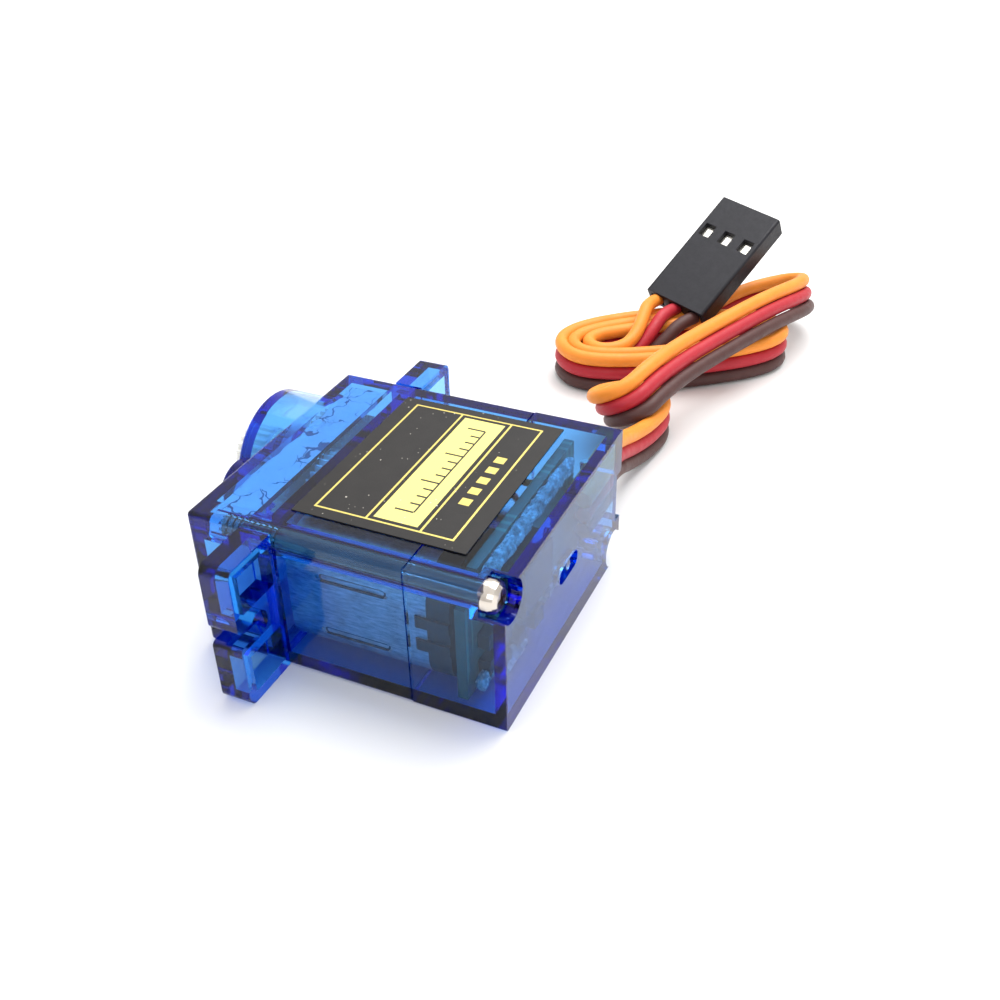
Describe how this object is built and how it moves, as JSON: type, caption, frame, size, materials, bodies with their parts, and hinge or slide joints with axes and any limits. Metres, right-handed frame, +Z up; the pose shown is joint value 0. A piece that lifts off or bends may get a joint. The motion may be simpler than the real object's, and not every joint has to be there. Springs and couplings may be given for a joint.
{
  "type": "hobby servo motor",
  "caption": "Clear blue micro servo with slotted mounting ears, gear tower, splined output shaft and a coiled three-wire lead ending in a socket plug.",
  "frame": {"origin": "centre of the servo's resting footprint: middle of the ears' overall length (X), middle between bottom face and spline tip (Y), on the surface it lies on (Z)", "axes": "+X along the mounting ears towards the output shaft and cable end, +Y along the output shaft, out of the splined end, +Z up, out of the labelled broad face"},
  "size_m": [0.0798, 0.0389, 0.0136],
  "materials": {
    "blue_case": "clear blue moulded plastic, polished",
    "white_nylon": "milky moulded nylon",
    "black_plastic": "moulded, satin",
    "steel": "nickel plated",
    "motor_steel": "drawn steel can",
    "magnet": "dark sintered ferrite",
    "bronze": "sintered, matt",
    "copper": "enamelled wire and bars",
    "gold_contact": "plated contact",
    "board": "green solder mask",
    "ceramic": "matt",
    "label_foil": "printed foil",
    "orange_wire": "soft wire insulation",
    "red_wire": "soft wire insulation",
    "brown_wire": "soft wire insulation"
  },
  "bodies": {
    "case": {"bottom_cover": "blue_case", "middle_case": "blue_case", "top_case": "blue_case", "case_screws": "steel", "label": "label_foil", "motor_can": "motor_steel", "motor_end_cap": "black_plastic", "motor_magnets": "magnet", "motor_bushings": "bronze", "motor_brushes": "copper", "motor_terminals": "gold_contact", "idler_pin": "steel", "potentiometer_housing": "black_plastic", "potentiometer_track": "ceramic", "potentiometer_terminals": "gold_contact", "circuit_board": "board", "control_chip": "black_plastic", "transistors": "black_plastic", "small_components": "ceramic", "potentiometer_wires": "red_wire", "cable_inner_leads": "red_wire", "signal_wire": "orange_wire", "power_wire": "red_wire", "ground_wire": "brown_wire", "cable_coil": "red_wire", "connector_housing": "black_plastic", "connector_contacts": "gold_contact"},
    "rotor": {"motor_shaft": "steel", "motor_pinion": "white_nylon", "armature_core": "motor_steel", "armature_windings": "copper", "commutator": "copper"},
    "first_gear": {"gear_1": "white_nylon"},
    "second_gear": {"gear_2": "white_nylon"},
    "third_gear": {"gear_3": "white_nylon"},
    "output": {"output_gear": "white_nylon", "potentiometer_shaft": "steel", "potentiometer_wiper": "gold_contact"}
  },
  "joints": [
    {"name": "motor_spin", "type": "hinge", "parent": "case", "child": "rotor", "pos_m": [-0.006, 0, 0.006], "axis": [0, 1, 0], "range_deg": [-14200, 14200]},
    {"name": "gear_1_spin", "type": "hinge", "parent": "case", "child": "first_gear", "pos_m": [-0.00025, 0, 0.006], "axis": [0, 1, 0], "range_deg": [-4010, 4010]},
    {"name": "gear_2_spin", "type": "hinge", "parent": "case", "child": "second_gear", "pos_m": [0.0055, 0, 0.006], "axis": [0, 1, 0], "range_deg": [-1131, 1131]},
    {"name": "gear_3_spin", "type": "hinge", "parent": "case", "child": "third_gear", "pos_m": [-0.00025, 0, 0.006], "axis": [0, 1, 0], "range_deg": [-319, 319]},
    {"name": "output_turn", "type": "hinge", "parent": "case", "child": "output", "pos_m": [0.0055, 0, 0.006], "axis": [0, 1, 0], "range_deg": [-90, 90]}
  ],
  "couplings": [
    {"joint": "gear_1_spin", "follows": "motor_spin", "ratio": -0.28205},
    {"joint": "gear_2_spin", "follows": "motor_spin", "ratio": 0.079553},
    {"joint": "gear_3_spin", "follows": "motor_spin", "ratio": -0.022438},
    {"joint": "output_turn", "follows": "motor_spin", "ratio": 0.0063287}
  ]
}
